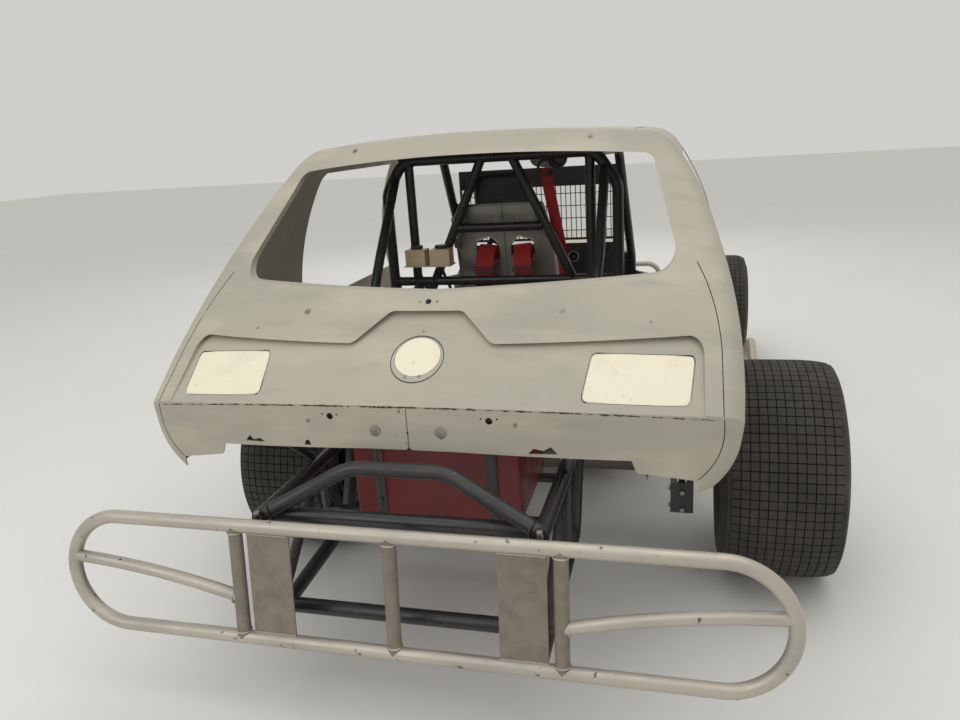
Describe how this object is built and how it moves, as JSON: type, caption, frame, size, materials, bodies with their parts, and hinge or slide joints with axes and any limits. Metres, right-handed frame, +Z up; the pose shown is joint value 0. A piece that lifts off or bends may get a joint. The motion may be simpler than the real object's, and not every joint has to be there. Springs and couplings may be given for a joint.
{
  "type": "modified stock car",
  "caption": "Offset tube-frame modified race car with a hatchback shell in grey primer, roll cage, loop rear bumper and wide grooved tyres.",
  "frame": {"origin": "centre of the bounding box at floor level, under the middle of the car", "axes": "+Z up, +Y towards the tail (the nose faces -Y), +X towards the car's left side"},
  "size_m": [2.2355, 4.401, 1.5612],
  "materials": {
    "bare_aluminium": "brushed sheet",
    "bumper_silver": "dull aluminium paint",
    "cast_grey": "machined and cast",
    "cover_white": "matte cream primer",
    "cream_plastic": "aged translucent plastic",
    "dark_sheet": "satin black",
    "engine_metal": "painted casting",
    "frame_black": "worn gloss black",
    "header_steel": "heat-stained",
    "pad_black": "padded vinyl",
    "polished_alloy": "satin cast",
    "primer_body": "matte primer, sanded",
    "red_belt": "woven webbing",
    "red_cell": "satin dark red",
    "spring_metal": "gloss",
    "tyre_rubber": "worn slick with cut grooves",
    "wheel_steel": "satin"
  },
  "bodies": {
    "chassis": {"body_braces": "frame_black", "brake_calipers": "dark_sheet", "bumper_posts": "bumper_silver", "coilovers": "spring_metal", "cylinder_heads": "engine_metal", "dash_panel": "dark_sheet", "door_left": "primer_body", "door_right": "primer_body", "driver_seat": "bare_aluminium", "driveshaft": "cast_grey", "engine_block": "engine_metal", "exhaust_headers": "header_steel", "filler_cover": "cover_white", "firewall": "dark_sheet", "floor_pan": "dark_sheet", "front_axle": "frame_black", "front_bumper": "bumper_silver", "fuel_cell": "red_cell", "gearbox": "polished_alloy", "head_pad": "pad_black", "hood_panel": "primer_body", "intake": "polished_alloy", "lamp_covers": "cover_white", "main_frame": "frame_black", "quarter_left": "primer_body", "quarter_right": "primer_body", "radiator": "bare_aluminium", "rear_axle": "cast_grey", "rear_bumper": "bumper_silver", "rear_valance": "primer_body", "reservoirs": "cream_plastic", "rock_screen": "dark_sheet", "roll_cage": "frame_black", "roof_panel": "primer_body", "shoulder_belts": "red_belt", "side_bars": "bumper_silver", "steering_column": "frame_black", "suspension_links": "frame_black", "tail_panel": "primer_body"},
    "knuckle_left": {"knuckle_left": "cast_grey"},
    "knuckle_right": {"knuckle_right": "cast_grey"},
    "tie_rod": {"tie_rod": "frame_black"},
    "steering_wheel": {"steering_wheel": "pad_black"},
    "wheel_rear_right": {"tyre_rear_right": "tyre_rubber", "wheel_rear_right": "wheel_steel"},
    "wheel_rear_left": {"tyre_rear_left": "tyre_rubber", "wheel_rear_left": "wheel_steel"},
    "wheel_front_right": {"tyre_front_right": "tyre_rubber", "wheel_front_right": "wheel_steel"},
    "wheel_front_left": {"tyre_front_left": "tyre_rubber", "wheel_front_left": "wheel_steel"}
  },
  "joints": [
    {"name": "rear_right_roll", "type": "hinge", "parent": "chassis", "child": "wheel_rear_right", "pos_m": [-0.92525, 1.1485, 0.372], "axis": [1, 0, 0], "continuous": true},
    {"name": "rear_left_roll", "type": "hinge", "parent": "chassis", "child": "wheel_rear_left", "pos_m": [0.80475, 1.1485, 0.36], "axis": [1, 0, 0], "continuous": true},
    {"name": "steer_left", "type": "hinge", "parent": "chassis", "child": "knuckle_left", "pos_m": [0.68475, -1.5435, 0.33], "axis": [0, 0, 1], "range_deg": [-26, 26]},
    {"name": "steer_right", "type": "hinge", "parent": "chassis", "child": "knuckle_right", "pos_m": [-0.75525, -1.5435, 0.336], "axis": [0, 0, 1], "range_deg": [-26, 26]},
    {"name": "front_left_roll", "type": "hinge", "parent": "knuckle_left", "child": "wheel_front_left", "pos_m": [0.83475, -1.5435, 0.33], "axis": [1, 0, 0], "continuous": true},
    {"name": "front_right_roll", "type": "hinge", "parent": "knuckle_right", "child": "wheel_front_right", "pos_m": [-0.90525, -1.5435, 0.336], "axis": [1, 0, 0], "continuous": true},
    {"name": "tie_rod_pin", "type": "hinge", "parent": "knuckle_left", "child": "tie_rod", "pos_m": [0.68475, -1.3935, 0.3], "axis": [0, 0, 1], "range_deg": [-26, 26]},
    {"name": "hand_wheel", "type": "hinge", "parent": "chassis", "child": "steering_wheel", "pos_m": [0.11475, 0.2435, 0.985], "axis": [0, 0.9135, 0.4068], "range_deg": [-312, 312]}
  ],
  "couplings": [
    {"joint": "steer_right", "follows": "steer_left", "ratio": 1},
    {"joint": "tie_rod_pin", "follows": "steer_left", "ratio": -1},
    {"joint": "hand_wheel", "follows": "steer_left", "ratio": 12}
  ]
}
